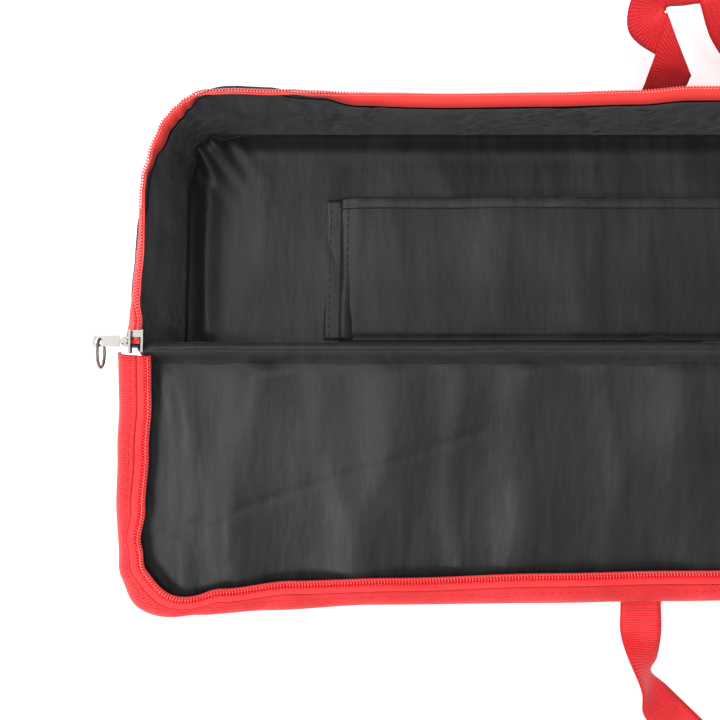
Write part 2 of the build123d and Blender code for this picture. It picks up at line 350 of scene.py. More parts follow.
def grid_faces(rows, columns, closed):
    """Quads over a grid, and two end caps where it is a tube."""
    order = np.arange(rows * columns).reshape(rows, columns)
    if closed:
        order = np.vstack([order, order[:1]])
    corners = [order[:-1, :-1], order[:-1, 1:], order[1:, 1:], order[1:, :-1]]
    faces = np.stack(corners, axis=-1).reshape(-1, 4).tolist()
    if closed:
        faces.append(order[:-1, 0].tolist())
        faces.append(order[-2::-1, -1].tolist())
    return faces


def cloth_piece(name, points, material, closed=False):
    """A piece from rows x columns x 3 points."""
    return into_piece(name, points, grid_faces(*points.shape[:2], closed), material)


def give_painted_light(piece, values):
    """Store the share of painted light of every point."""
    attribute = piece.data.attributes.new("painted_light_share", "FLOAT", "POINT")
    attribute.data.foreach_set("value", np.ascontiguousarray(values, np.float32).ravel())


def soften(piece, width, sharpest=50):
    """Round every edge that is sharper than an angle in degrees."""
    soft = piece.modifiers.new("soft_edge", "BEVEL")
    soft.width = width
    soft.segments = 3
    soft.angle_limit = radians(sharpest)


def thicken(piece, thickness, rounding=0.0):
    """Give a sheet its thickness, on its inner side, and round its edges where it is a pad."""
    solid = piece.modifiers.new("thickness", "SOLIDIFY")
    solid.thickness = thickness
    solid.offset = -1.0
    if rounding:
        soften(piece, rounding)


def body_place(x, y, z):
    """Local places of the body are the real ones."""
    return np.stack(np.broadcast_arrays(x, y, z), axis=-1).astype(float)


fold = next(j for j in frame["joints"] if j["name"] == "lid_fold")
slope = radians(fold["range_deg"][1] - 180)
lining_low, lining_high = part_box("front_lining")
near_gap = mm(1.5)
lining_thick = mm(0.8)
lid_y = lining_high.y + near_gap * cos(slope) - lining_thick * sin(slope)
lid_z = lining_high.z + near_gap * sin(slope)
lid_length = (lid_y - lining_low.y) / cos(slope)


def lid_place(x, v, h):
    """v runs down the open lid from the hinge, h stands up from its lining."""
    y = lid_y - v * cos(slope) - h * sin(slope)
    z = lid_z - v * sin(slope) + h * cos(slope)
    return np.stack(np.broadcast_arrays(x, y, z), axis=-1).astype(float)


print("lid slope", round(slope * 180 / pi, 2), "lid length", round(lid_length, 4))

# %% [markdown]
# ## The rim, and how a real one wanders
# Wall, tape and coil all follow the same U: up the left end, along the far side, down the right
# end. A sewn rim never runs true, so a short table of shifts, in millimetres, pushes it in and out
# along its length. The right half mirrors the left.

# %% Paths round the rim
def smooth(share):
    """0 to 1 with a soft start and a soft end."""
    return share * share * (3 - 2 * share)


def eased(at, places, values):
    """Values from a short table, with a smooth pass through every entry."""
    places = np.asarray(places, float)
    values = np.asarray(values, float)
    slot = np.clip(np.searchsorted(places, at, side="right") - 1, 0, len(places) - 2)
    share = smooth(np.clip((at - places[slot]) / (places[slot + 1] - places[slot]), 0, 1))
    return values[slot] + share * (values[slot + 1] - values[slot])


def rim_path(half, far, radius, near, count):
    """Points round three sides, their outward directions, and their distance from the left end."""
    side = far - radius - near
    bend = radius * pi / 2
    marks = np.cumsum([0, side, bend, 2 * (half - radius), bend, side])
    reach = np.linspace(0, marks[-1], count)
    heading = np.interp(reach, marks, np.radians([90, 90, 0, 0, -90, -90]))
    middle = (heading[1:] + heading[:-1]) / 2
    x = -half + np.concatenate([[0], np.cumsum(reach[1] * np.cos(middle))])
    y = near + np.concatenate([[0], np.cumsum(reach[1] * np.sin(middle))])
    outward = np.stack([-np.sin(heading), np.cos(heading)], axis=1)
    return np.stack([x, y], axis=1), outward, reach


def wander(reach, places, shifts):
    """Outward shift along the rim, the same from either end, in metres."""
    from_end = np.minimum(reach, reach[-1] - reach) * 1000
    return mm(eased(from_end, places, shifts))


# Outward shifts of the body's zip, and how far from the hinge end each is, in millimetres.
body_shift_places = [0, 16, 32, 54, 72, 84, 98, 112, 128, 146, 156, 165]
body_shift_places += [174, 181, 195, 217, 246, 270, 321, 380, 436, 468, 546]
body_shifts = [1.1, -0.6, -1.9, -3.4, -4.1, -4.3, -5.0, -8.0, -8.8, -6.4, -4.3, -1.8]
body_shifts += [0.6, 1.6, 2.1, 1.5, 0.7, 0.2, -0.7, 0.0, 1.4, 3.9, 4.4]
# How far the outer cloth shows past the zip.
body_sliver_places = [0, 20, 30, 70, 85, 170, 188, 214, 234, 546]
body_slivers = [-0.4, 0.2, 1.6, 1.6, -0.4, -0.4, 2.8, 2.4, -0.5, -0.5]
# The same for the lid, at its zip and at its outer edge.
lid_shift_places = [0, 28, 62, 98, 124, 140, 158, 190, 235, 300, 400, 480, 548]
lid_zip_shifts = [-3.8, -3.3, -0.6, 2.6, 7.0, 11.5, 13.5, 4.0, -1.0, -2.8, -5.8, -7.4, -7.8]
lid_edge_shifts = [-3.2, -2.9, -0.6, 1.4, 0.6, 3.0, 8.0, 4.0, 1.1, -2.6, -3.6, -4.8, -5.6]
print("rim shifts", len(body_shifts), "places on the body,", len(lid_zip_shifts), "on the lid")

# %% [markdown]
# ## Folds in thin cloth
# Lining that is a little larger than its panel ripples. A fold here is a soft ridge or a sharp
# crease along a slanting line, and a piece gets a few dozen of them from a seeded generator, so the
# cloth comes out the same each time.

# %% Folds
def folds(across, along, seed, number, width, height, slant, sharp=1.0):
    """Summed ridges over places in metres, each with its own line and length."""
    random = np.random.default_rng(seed)
    low, high = across.min(), across.max()
    start, end = along.min(), along.max()
    total = np.zeros(np.broadcast(across, along).shape)
    for _ in range(number):
        middle = random.uniform(low, high)
        centre = random.uniform(start, end)
        lean = random.normal(0, slant)
        wide = width * random.uniform(0.6, 1.7)
        long = (end - start) * random.uniform(0.25, 0.7)
        tall = height * random.choice([-0.7, 1.0]) * random.uniform(0.4, 1.0)
        curve = mm(3) * np.sin(along * random.uniform(20, 60) + random.uniform(0, 6))
        gap = np.abs(across - middle - lean * (along - centre) - curve) / wide
        total += tall * np.exp(-(gap ** (1 + sharp))) * np.exp(-(((along - centre) / long) ** 2))
    return total


def billows(x, v, table):
    """Broad soft ridges along v, on both halves.

    The table's rows are (place along x, width, height, lean), in millimetres but for the lean.
    """
    total = 0 * x
    for side in (-1, 1):
        for number, (place, wide, tall, lean) in enumerate(table):
            line = side * mm(place) + lean * v + mm(5) * np.sin(42 * v + 2.1 * number + side)
            gap = (x - line) / mm(wide)
            skewed = np.where(gap > 0, gap / 1.7, gap)
            ripple = 1 + 0.35 * np.sin(57 * v + 1.7 * number)
            total += mm(tall) * ripple * np.exp(-(np.abs(skewed) ** 1.7))
    return total


def rounded(x, y, half, far, radius):
    """Bend a grid's two far square corners into round ones, without crowding its points."""
    a = np.clip((np.abs(x) - (half - radius)) / radius, 0, None)
    b = np.clip((y - (far - radius)) / radius, 0, None)
    bent_x = np.sign(x) * (half - radius + radius * a * np.sqrt(1 - b**2 / 2))
    bent_y = far - radius + radius * b * np.sqrt(1 - a**2 / 2)
    corner = (a > 0) & (b > 0)
    return np.where(corner, bent_x, x), np.where(corner, bent_y, y)


def edge_fade(x, y, half, near, far, reach):
    """0 at the edge of a panel, 1 from a reach inside it."""
    inside = np.minimum(np.minimum(half - np.abs(x), far - y), y - near)
    return smooth(np.clip(inside / reach, 0, 1))


# %% [markdown]
# ## Letting the lining settle
# The big linings are cut a little over 1 percent too wide and sewn down at their edges, so the spare
# cloth stands up in folds that run from hinge to far side. Blender's cloth solver finds those folds: the
# flat grid is pinned all round, its rest shape is the wider cut, and the spare width buckles. What
# bends down is flattened, because foam lies under it.

# %% Settle a sewn-down sheet
def settle(x, y, cut, seed, steps=28, cap=mm(4.0)):
    """Heights over a flat grid of sewn-down cloth, cut larger by the two shares in cut."""
    random = np.random.default_rng(seed)
    start = folds(x, y, seed, 40, mm(12), mm(0.5), 0.25) + random.normal(0, mm(0.02), x.shape)
    piece = cloth_piece("settling", body_place(x, y, start), satin_lining)
    rows, columns = x.shape
    order = np.arange(rows * columns).reshape(rows, columns)
    edge = np.concatenate([order[0], order[-1], order[:, 0], order[:, -1]])
    piece.vertex_groups.new(name="sewn").add(np.unique(edge).tolist(), 1.0, "REPLACE")
    piece.shape_key_add(name="Basis")
    wider = piece.shape_key_add(name="cut")
    cut_places = body_place(x * cut[0], y * cut[1], start)
    wider.data.foreach_set("co", cut_places.ravel())
    modifier = piece.modifiers.new("cloth", "CLOTH")
    cloth = modifier.settings
    cloth.quality = 5
    cloth.mass = 0.2
    cloth.tension_stiffness = 20
    cloth.compression_stiffness = 20
    cloth.shear_stiffness = 6
    cloth.bending_stiffness = 2.0
    cloth.vertex_group_mass = "sewn"
    cloth.rest_shape_key = wider
    cloth.effector_weights.gravity = 0
    modifier.collision_settings.use_collision = False
    scene.frame_end = steps
    for step in range(1, steps + 1):
        scene.frame_set(step)
    settled = piece.evaluated_get(bpy.context.evaluated_depsgraph_get()).to_mesh()
    places = np.zeros(len(settled.vertices) * 3)
    settled.vertices.foreach_get("co", places)
    height = places.reshape(rows, columns, 3)[..., 2]
    bpy.data.objects.remove(piece)
    scene.frame_set(1)
    height = np.where(height < 0, 0.3 * height, height)
    print("settled lining", round(float(height.min()) * 1000, 2), round(float(height.max()) * 1000, 2))
    return cap * np.tanh(height / cap)


back_low, back_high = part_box("back_lining")
grid_step = mm(4.5)
fine_step = mm(2.2)
corner_radius = mm(36)
seam_allowance = mm(5.5)


def panel_grid(half, near, far, step):
    """A regular grid over a panel, rows from near to far."""
    x = np.linspace(-half, half, int(2 * half / step) + 1)
    y = np.linspace(near, far, int((far - near) / step) + 1)
    return np.meshgrid(x, y)


back_half = back_high.x - seam_allowance
back_far = back_high.y - seam_allowance
back_near = back_low.y + seam_allowance
flat_x, flat_y = panel_grid(back_half, back_near, back_far, grid_step)
back_x, back_y = rounded(flat_x, flat_y, back_half, back_far, corner_radius)
floor_table = [(372, 7, 1.6, 0.0), (345, 13, 2.2, 0.12), (300, 10, 1.2, -0.1)]
floor_table += [(255, 14, 1.5, 0.1), (214, 9, 1.3, -0.2), (170, 15, 1.7, 0.1)]
floor_table += [(120, 12, 1.6, -0.1), (70, 14, 1.8, 0.15), (20, 10, 1.2, 0.0)]
back_height = settle(back_x, back_y, (1.012, 1.004), 11) + billows(back_x, back_y, floor_table)

lid_half = lining_high.x - mm(2)
lid_near = near_gap + mm(1)
lid_far = lid_length - mm(2)
flat_u, flat_v = panel_grid(lid_half, lid_near, lid_far, grid_step)
lid_x, lid_v = rounded(flat_u, flat_v, lid_half, lid_far, corner_radius)
lid_table = [(384, 6, 1.8, 0.02), (341, 12, 3.2, -0.12), (300, 8, 1.0, 0.1), (256, 14, 3.3, -0.15)]
lid_table += [(222, 7, 1.5, 0.05), (174, 12, 2.8, -0.1), (132, 7, 1.2, 0.1), (92, 15, 3.0, 0.15)]
lid_table += [(48, 10, 1.8, 0.0), (12, 12, 2.2, -0.1)]
lid_height = settle(lid_x, lid_v, (1.014, 1.006), 23) + billows(lid_x, lid_v, lid_table)
print("lining grids", back_x.shape, lid_x.shape)

# %% [markdown]
# ## Body tray: padded floor
# The floor of the tray is a sandwich of outer cloth, foam and lining, sewn round its edge. The pad
# is one soft-edged slab. The lining over it carries the settled folds and a rolled ridge near each
# end, where the foam is pushed up by the end wall.

# %% Back panel pad and lining
def finer(x, y, height):
    """Resample settled heights on a finer grid, by straight lines both ways."""
    rows = np.linspace(0, x.shape[0] - 1, int(x.shape[0] * grid_step / fine_step))
    columns = np.linspace(0, x.shape[1] - 1, int(x.shape[1] * grid_step / fine_step))
    found = []
    for values in (x, y, height):
        tall = np.stack([np.interp(rows, np.arange(x.shape[0]), line) for line in values.T], axis=1)
        wide = np.stack([np.interp(columns, np.arange(x.shape[1]), line) for line in tall])
        found.append(wide)
    return found


pad_step = mm(6)
pad_rounding = mm(1.4)
panel_radius = mm(38)
satin_thick = mm(0.5)
pad_low, pad_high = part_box("back_panel")
pad_half = pad_high.x - mm(0.5)
pad_far = pad_high.y - mm(0.5)
pad_x, pad_y = panel_grid(pad_half, pad_low.y + mm(0.5), pad_far, pad_step)
pad_x, pad_y = rounded(pad_x, pad_y, pad_half, pad_far, panel_radius)
pad_points = body_place(pad_x, pad_y, back_low.z - mm(0.2))
back_pad = cloth_piece("back_panel_pad", pad_points, outer_cloth)
thicken(back_pad, back_low.z - mm(0.4), pad_rounding)
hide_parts("back_panel", "back_panel_foam")
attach(back_pad, "body")

fine_x, fine_y, fine_height = finer(back_x, back_y, back_height)
end_gap = back_half - np.abs(fine_x)
roll = mm(3.6) * np.exp(-(((end_gap - mm(13)) / mm(7)) ** 2))
far_roll = mm(1.6) * np.exp(-(((back_far - fine_y - mm(9)) / mm(7)) ** 2))
fade = edge_fade(fine_x, fine_y, back_half, back_near, back_far, mm(14))
corner_distance = np.hypot(np.abs(fine_x) - mm(383), fine_y - mm(66))
# The cloth climbs the two far corners, in creases that slant across them.
corner_creases = 1 + 0.3 * np.sin(fine_x * 420 + fine_y * 300)
corner_rise = mm(13) * np.exp(-((corner_distance / mm(24)) ** 2)) * corner_creases
relief = fade * (fine_height + roll + far_roll) + np.minimum(1, fade * 3) * corner_rise
back_points = body_place(fine_x, fine_y, back_high.z + np.clip(relief, -mm(0.5), None))
back_cloth = cloth_piece("back_lining_cloth", back_points, satin_lining)
thicken(back_cloth, satin_thick)
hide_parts("back_lining")
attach(back_cloth, "body")
print("floor lining rises", round(float(relief.max()) * 1000, 2), "mm at most")

# %% [markdown]
# ## Body tray: walls
# The end and far walls are one long padded strip, bent round the corners. The outside is a rounded pad.
# The inside is lining with upright puckers, deeper in the corners, where the strip has to turn. At the
# top it leans over to meet the zip tape's seam.

# %% Where the zip tape is sewn, and how it stands
tape_low, tape_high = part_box("body_zip_tape")
coil_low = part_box("body_zip_coil")[0]
rim_radius = mm(42)
rim_count = 900
top_path, top_out, top_reach = rim_path(tape_high.x, tape_high.y, rim_radius, tape_low.y, rim_count)
foot_path, _, _ = rim_path(back_high.x, back_high.y, panel_radius, back_low.y, rim_count)
zip_shift_out = wander(top_reach, body_shift_places, body_shifts)
top_shift = zip_shift_out + wander(top_reach, body_sliver_places, body_slivers)
# The tape leans inward at the ends, and outward round the corners and along the far side.
stand_places = [0, 10, 26, 54, 72, 84, 96, 110, 125, 156, 165, 174, 181, 217, 246, 270, 300, 546]
stand_angles = [170, 168, 134, 130, 116, 108, 98, 84, 60, 58, 75, 105, 120, 122, 100, 58, 42, 40]
from_end = np.minimum(top_reach, top_reach[-1] - top_reach) * 1000
stand = np.radians(eased(from_end, stand_places, stand_angles))
# The seam lies so far in that the outermost corner of tape and coil follows the table of shifts.
# Each corner is (across the tape, above it). What stands higher also looks further out from above.
corners = [(0, 0), (0, 0.8), (3.5, 2.8), (8.4, 2.8), (8.4, 1.2)]
look_out = 0.22 + 0.18 * np.clip((from_end - 111) / 66, 0, 1)
reached = [a * np.cos(stand) + b * np.sin(stand) for a, b in corners]
height = [a * np.sin(stand) - b * np.cos(stand) for a, b in corners]
seam_inset = mm(np.max([r + look_out * h for r, h in zip(reached, height)], axis=0))
seam_inset = seam_inset + top_shift - zip_shift_out
print("tape stands at", np.degrees([stand.min(), stand.max()]).round(), "degrees")

# %% Wall pad and wall lining
wall_top = tape_low.z
wall_foot = back_high.z - mm(4.5)
share = np.linspace(0, 1, 12)[:, None]


def wall_rows(share, inset, bulge):
    """Places up the wall, a share of the way from foot to top, at an inset from its outer face."""
    path = foot_path * (1 - share[..., None]) + top_path * share[..., None]
    shift = top_shift * share**1.5
    x = path[..., 0] + top_out[:, 0] * (shift - inset + bulge)
    y = path[..., 1] + top_out[:, 1] * (shift - inset + bulge)
    return x, y


bulge = mm(1.6) * np.sin(pi * share) + mm(0.5) * np.sin(pi * share) * np.sin(top_reach * 55)
outer_x, outer_y = wall_rows(share, mm(0.6), bulge)
outer_z = wall_foot + (wall_top - mm(0.6) - wall_foot) * share + 0 * top_reach
inner_x, inner_y = wall_rows(share[::-1], mm(4.2), 0 * share)
inner_z = outer_z[::-1]
wall_faces = [body_place(outer_x, outer_y, outer_z), body_place(inner_x, inner_y, inner_z)]
wall_pad = cloth_piece("wall_pad", np.concatenate(wall_faces), outer_cloth, closed=True)
soften(wall_pad, mm(1.0))
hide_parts("gusset_shell", "gusset_foam")
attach(wall_pad, "body")

up = np.linspace(0, 1, 30)[:, None]
puckers = folds(top_reach[None, :], up, 5, 120, mm(3.5), mm(2.6), 0.016, 0.5)
corner_gap = np.minimum(np.abs(from_end - 128), 60) / 60
deeper = mm(3.0) * (1 - corner_gap) * np.sin(top_reach * 190) * np.sin(pi * up)
lining_inset = mm(4.8) + (np.maximum(seam_inset - mm(4.3), 0) + mm(0.4)) * up**4
sag = (puckers + deeper) * np.sin(pi * np.clip(up * 0.96 + 0.02, 0, 1)) ** 0.6
lining_inset = lining_inset + np.maximum(sag, -mm(0.4)) + mm(1.2) * np.sin(pi * up)
inner_x, inner_y = wall_rows(up, lining_inset, 0 * up)
lining_z = back_high.z - mm(0.2) + (wall_top + mm(0.1) - back_high.z) * up + 0 * top_reach
wall_lining = cloth_piece("wall_lining", body_place(inner_x, inner_y, lining_z), wall_satin_painted_light)
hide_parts("gusset_lining")
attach(wall_lining, "body")
print("wall pad points", len(wall_pad.data.vertices), "lining", len(wall_lining.data.vertices))

# %% [markdown]
# ## Body tray: hinge wall
# The wall at the hinge is a straight padded strip, a little longer at its top. Its lining is never
# seen from the front, yet it closes the tray, so it is made in the same way as the others.

# %% Hinge wall
hinge_low, hinge_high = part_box("bottom_gusset")
wall_share = np.linspace(0, 1, 14)[:, None]
run = np.linspace(-1, 1, 160)[None, :]
half_at = back_high.x + (hinge_high.x - back_high.x) * wall_share
pad_deep = mm(3.8) - mm(2.9) * wall_share**2
pad_back = hinge_low.y + mm(0.4) - mm(1.0) * wall_share**2
hinge_x = run * (half_at - mm(0.6))
hinge_z = hinge_low.z + (hinge_high.z - mm(1.2) - hinge_low.z) * wall_share + 0 * run
near_face = body_place(hinge_x, pad_back, hinge_z)
far_face = body_place(hinge_x, pad_back + pad_deep, hinge_z)[::-1]
hinge_faces = np.concatenate([near_face, far_face])[::-1]
hinge_pad = cloth_piece("hinge_wall_pad", hinge_faces, outer_cloth, closed=True)
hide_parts("bottom_gusset", "bottom_gusset_foam")
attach(hinge_pad, "body")
ripple = folds(hinge_x, hinge_z, 31, 50, mm(7), mm(0.9), 0.1) * np.sin(pi * wall_share)
lining_y = pad_back + pad_deep + mm(0.7) + np.maximum(ripple, -mm(0.3))
hinge_points = body_place(hinge_x * 0.99, lining_y, hinge_z + mm(0.2))
hinge_lining = cloth_piece("hinge_wall_lining", hinge_points, satin_lining)
thicken(hinge_lining, mm(0.3))
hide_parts("bottom_gusset_lining")
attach(hinge_lining, "body")
print("hinge wall", round(hinge_high.z * 1000, 1), "mm high")

# %% [markdown]
# ## The slip pocket and its stitches
# The pocket is a second piece of lining laid on the floor of the tray. Its top is hemmed and stands
# open a few millimetres. Each end is pleated so that the pocket can fill. Stitches are short capsules
# of black thread, 5 mm apart, all of one row joined into a single mesh.

# %% Stitches
def unit(vectors):
    """The same vectors, each made 1 long."""
    return vectors / np.linalg.norm(vectors, axis=-1, keepdims=True)


def reach_along(line):
    """How far along a line of points each point lies."""
    return np.concatenate([[0], np.cumsum(np.linalg.norm(np.diff(line, axis=0), axis=1))])


def sample(at, reach, line):
    """What a line of points or directions is at the distances in at."""
    return np.stack([np.interp(at, reach, column) for column in line.T], axis=1)


def stitch_row(name, line, pitch, length, radius, material, lift=0.0):
    """A row of thread capsules that follow a line of points, joined into one mesh."""
    reach = reach_along(line)
    points = []
    faces = []
    turn = np.linspace(0, 2 * pi, 6, endpoint=False)
    # A capsule's rings: how far along the stitch each lies, and its share of the radius.
    profile = [(0.0, 0.25), (0.12, 0.9), (0.5, 1.0), (0.88, 0.9), (1.0, 0.25)]
    for start in np.arange(pitch / 2, reach[-1] - length, pitch):
        ends = sample([start, start + length], reach, line)
        along = unit(ends[1] - ends[0])
        side = unit(np.cross(along, (0, 0, 1.0)))
        top = np.cross(side, along)
        first = len(points)
        for share, wide in profile:
            arch = lift + radius * 0.6 * sin(pi * share)
            centre = ends[0] + (ends[1] - ends[0]) * share + top * arch
            for angle in turn:
                points.append(centre + radius * wide * (cos(angle) * side + sin(angle) * top))
        index = np.arange(first, first + 6 * len(profile)).reshape(len(profile), 6)
        for a, b in zip(index[:-1], index[1:]):
            faces += [[a[k], a[(k + 1) % 6], b[(k + 1) % 6], b[k]] for k in range(6)]
        faces += [index[0][::-1], index[-1]]
    faces = [[int(i) for i in face] for face in faces]
    return into_piece(name, np.array(points), faces, material)


# %% Pocket sheet, hem and pleats
pocket_low, pocket_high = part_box("pocket_panel")
floor_z = back_high.z
pocket_half = pocket_high.x - mm(1.5)
pocket_share = np.linspace(0, 1, 70)[:, None]
pocket_run = np.linspace(-1, 1, 330)[None, :]
pocket_y = pocket_low.y + (pocket_high.y - pocket_low.y) * pocket_share + 0 * pocket_run
pocket_x = pocket_run * (pocket_half + mm(1.5) * (1 - pocket_share))
rise = eased(pocket_share, [0, 0.07, 0.3, 1.0], [0.4, 2.6, 3.2, 5.2])
sides = np.clip((1 - np.abs(pocket_run)) * pocket_half / mm(10), 0, 1)
waves = folds(pocket_x, pocket_y, 41, 70, mm(11), mm(1.3), 0.12)
pocket_z = floor_z + mm(rise) * (0.55 + 0.45 * sides) + waves * sides * np.minimum(1, pocket_share * 6)
pocket_z = np.maximum(pocket_z, floor_z + mm(1.0))
pocket = cloth_piece("pocket_sheet", body_place(pocket_x, pocket_y, pocket_z), satin_lining)
thicken(pocket, satin_thick)
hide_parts("pocket_panel")
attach(pocket, "body")

hem_rows = np.array([0.0, 0.3, 1.0, 6.6, 7.0])[:, None]
hem_lift = np.array([-0.2, 0.55, 0.75, 0.6, 0.1])[:, None]
top_z = pocket_z[-1][None, :]
hem_points = body_place(pocket_x[-1:], pocket_high.y + mm(0.4) - mm(hem_rows), top_z + mm(hem_lift))
hem = cloth_piece("pocket_hem_fold", hem_points, satin_lining)
thicken(hem, satin_thick)
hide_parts("pocket_hem")
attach(hem, "body")

pleat_share = np.linspace(0, 1, 40)[:, None]
pleat_y = pocket_low.y + mm(1) + (pocket_high.y - mm(1) - pocket_low.y) * pleat_share
pleat_out = np.array([9.5, 8.0, 2.0, -4.0, -8.5, -8.6, -4.0, -0.5])[None, :]
pleat_up = np.array([0.5, 1.1, 1.3, 1.5, 1.6, 2.4, 2.7, 2.9])[None, :]
for side, name in ((-1, "pocket_pleat_left"), (1, "pocket_pleat_right")):
    edge = pocket_half + mm(1.5) * (1 - pleat_share)
    pleat_x = side * (edge + mm(pleat_out) + mm(0.6) * np.sin(pleat_y * 90))
    pleat_points = body_place(pleat_x, pleat_y, floor_z + mm(pleat_up))
    pleat = cloth_piece(name + "_fold", pleat_points, satin_lining)
    thicken(pleat, mm(0.3))
    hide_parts(name)
    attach(pleat, "body")
print("pocket", round(2 * pocket_half * 1000), "mm wide")

# %% Pocket stitches
thread = mm(0.26)
black_row = {"pitch": mm(5.0), "length": mm(3.4), "radius": thread, "material": black_thread}
hem_line = body_place(pocket_x[-1], pocket_high.y - mm(6.0), pocket_z[-1] + mm(0.75))
rows = [stitch_row("hem_stitches", hem_line, **black_row)]
for side, end in ((-1, "left"), (1, "right")):
    edge = pocket_half + mm(1.5) * (1 - pleat_share[:, 0])
    y = pleat_y[:, 0]
    fold_z = np.interp(y, pocket_y[:, 0], pocket_z[:, 5]) + mm(0.15)
    fold_line = body_place(side * (edge - mm(4.5)), y, fold_z)
    seam_line = body_place(side * (edge + mm(6.5)), y, floor_z + mm(1.45))
    for line, what in ((fold_line, "fold"), (seam_line, "seam")):
        rows.append(stitch_row(f"pocket_{what}_stitches_{end}", line, **black_row))
for row in rows:
    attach(row, "body")
print("stitch rows", [row.name for row in rows])

# %% [markdown]
# ## The zip: tape and coil
# A zip half is a woven tape with a coil of nylon wire sewn along its free edge. The coil is a
# flattened helix of 0.9 mm wire, one turn every 1.85 mm. Both parts are swept along the rim in a
# small frame of their own: one direction across the tape, one standing on the side with the coil.

# %% Tape and coil
coil_pitch = mm(1.85)
coil_half_width = mm(2.05)
coil_half_height = mm(0.82)
wire = mm(0.46)
tape_width = mm(8.3)
tape_thick = mm(0.8)
# Where the coil is sewn: how far across the tape, and how far above it.
coil_sewn = (mm(6.0), mm(2.0))


def strip_frame(seam, outward, stand, rise):
    """The tape's two directions at each station: across it, and up from its coil side."""
    across = outward * np.cos(stand)[:, None] + rise * np.sin(stand)[:, None]
    above = outward * np.sin(stand)[:, None] - rise * np.cos(stand)[:, None]
    return seam, across, above


def make_tape(name, strip, material):
    """A woven ribbon with a low raised border on its coil side."""
    seam, across, above = strip
    # Its section: shares of the width across it, and of the thickness above it.
    offsets = [(0, 0), (0, 1), (0.1, 1.25), (0.2, 1), (0.5, 1.05)]
    offsets += [(0.92, 1), (1, 0.8), (1, 0.1), (0.5, 0)]
    rows = [seam + across * (a * tape_width) + above * (b * tape_thick) for a, b in offsets]
    piece = cloth_piece(name, np.stack(rows), material, closed=True)
    # The share of painted light follows the height in the section: painted shade on the tape's back
    # face, painted light on its top face and raised border.
    give_painted_light(piece, np.repeat([b for _, b in offsets], len(seam)))
    return piece


def make_coil(name, strip, at, lift):
    """A flattened helix of wire round the line where the coil is sewn."""
    seam, across, above = strip
    centre = seam + across * at + above * lift
    reach = reach_along(centre)
    turns = int(reach[-1] / coil_pitch)
    count = turns * 12
    place = np.linspace(0, reach[-1], count)
    angle = np.arange(count) * 2 * pi / 12
    middle, wide, tall = (sample(place, reach, v) for v in (centre, across, above))
    flat = np.sign(np.cos(angle)) * np.abs(np.cos(angle)) ** 0.8
    sideways = coil_half_width * flat
    upwards = coil_half_height * np.sin(angle)
    wound = middle + wide * sideways[:, None] + tall * upwards[:, None]
    along = unit(np.gradient(wound, axis=0))
    side = unit(np.cross(along, unit(np.gradient(middle, axis=0))))
    other = np.cross(along, side)
    ring = np.arange(6) * 2 * pi / 6
    rows = [wound + wire * (cos(a) * side + sin(a) * other) for a in ring]
    print(name, turns, "turns over", round(reach[-1], 3), "m")
    piece = cloth_piece(name, np.stack(rows), coil_nylon, closed=True)
    # Painted highlights: the share of painted light is 1 at the heads of the loops and 0 elsewhere.
    give_painted_light(piece, np.tile(np.clip(np.cos(angle) * 4 - 3, 0, 1), (6, 1)))
    return piece


def coil_stitches(name, strip, at, lift):
    """The thread that sews the coil down, one short stitch for each turn, painted pale pink as the
    painted highlight dots along the coil.
    """
    seam, across, above = strip
    line = seam + across * at + above * lift
    row = stitch_row(name, line, coil_pitch, mm(0.85), mm(0.3), coil_thread_painted_highlight)
    # All of the thread at full painted light, the pale pink of the painted highlight.
    give_painted_light(row, np.ones(len(row.data.vertices)))
    return row


seam_z = tape_low.z + mm(0.2)
seam_path = top_path + top_out * (top_shift - seam_inset)[:, None]
body_seam = body_place(seam_path[:, 0], seam_path[:, 1], seam_z)
upward = np.array([0, 0, 1.0])
flat_out = np.concatenate([top_out, np.zeros((rim_count, 1))], axis=1)
body_strip = strip_frame(body_seam, flat_out, stand, upward)
body_tape = make_tape("body_tape", body_strip, zip_tape)
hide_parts("body_zip_tape")
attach(body_tape, "body")
coil_part = top_path[:, 1] > coil_low.y - mm(2)
short_strip = [part[coil_part] for part in body_strip]
body_coil = make_coil("body_coil", short_strip, *coil_sewn)
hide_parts("body_zip_coil")
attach(body_coil, "body")
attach(coil_stitches("body_coil_stitches", short_strip, mm(6.9), mm(2.75)), "body")
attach(coil_stitches("body_tape_stitches", short_strip, mm(7.3), mm(0.05)), "body")

# %% Covered zip ends
for end in ("left", "right"):
    tab_low, tab_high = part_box("zip_end_tab_" + end)
    wide = np.linspace(0, 1, 9)[None, :]
    tall = np.linspace(0, 1, 11)[:, None]
    dent = mm(0.35) * np.sin(pi * wide) * np.sin(pi * tall)
    tab_x = tab_low.x + (tab_high.x - tab_low.x) * wide
    tab_z = tab_low.z + (tab_high.z - tab_low.z) * tall
    tab_points = body_place(tab_x, tab_low.y + mm(0.3) - dent, tab_z)
    tab = cloth_piece("zip_end_cover_" + end, tab_points, outer_cloth)
    thicken(tab, mm(0.7), mm(0.25))
    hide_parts("zip_end_tab_" + end)
    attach(tab, "body")

# %% [markdown]
# ## The lid: padded panel and lining
# The lid's panel is the same sandwich as the floor of the tray. Its outline follows the wandering
# edge of the webbing wall, so the pad never shows outside it. The lining is settled cloth again,
# with one long diagonal crease from having been folded away.

